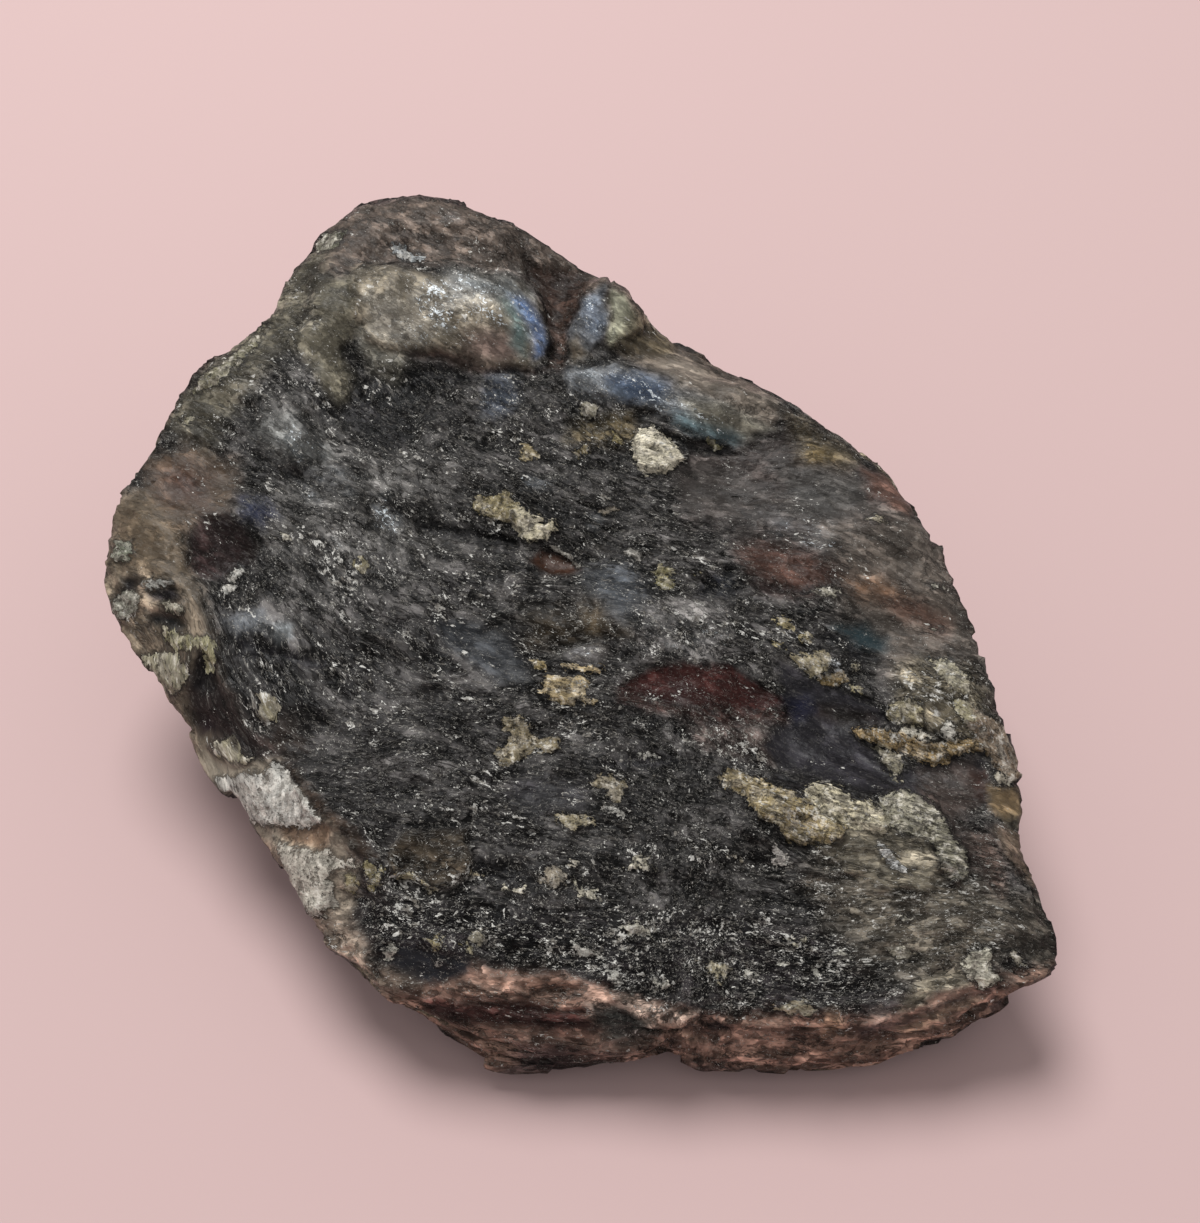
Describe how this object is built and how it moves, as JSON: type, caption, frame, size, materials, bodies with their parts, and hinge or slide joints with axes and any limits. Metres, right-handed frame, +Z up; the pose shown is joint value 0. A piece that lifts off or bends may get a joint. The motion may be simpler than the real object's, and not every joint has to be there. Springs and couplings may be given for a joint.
{
  "type": "rough labradorite chunk",
  "caption": "Rough unpolished labradorite chunk, a wedge-shaped natural stone with a broad tilted cleavage face, resting on a flat broken underside.",
  "frame": {"origin": "under the middle of the stone, on the surface it rests on", "axes": "+Z up, -Y towards the low front edge that the broad cleavage face tilts down to"},
  "size_m": [0.1016, 0.0982, 0.0404],
  "materials": {
    "labradorite": "rough broken feldspar, half-shiny on cleavage, with pale patches and a silvery blue sheen"
  },
  "bodies": {
    "root": {"labradorite_chunk": "labradorite"}
  },
  "joints": []
}
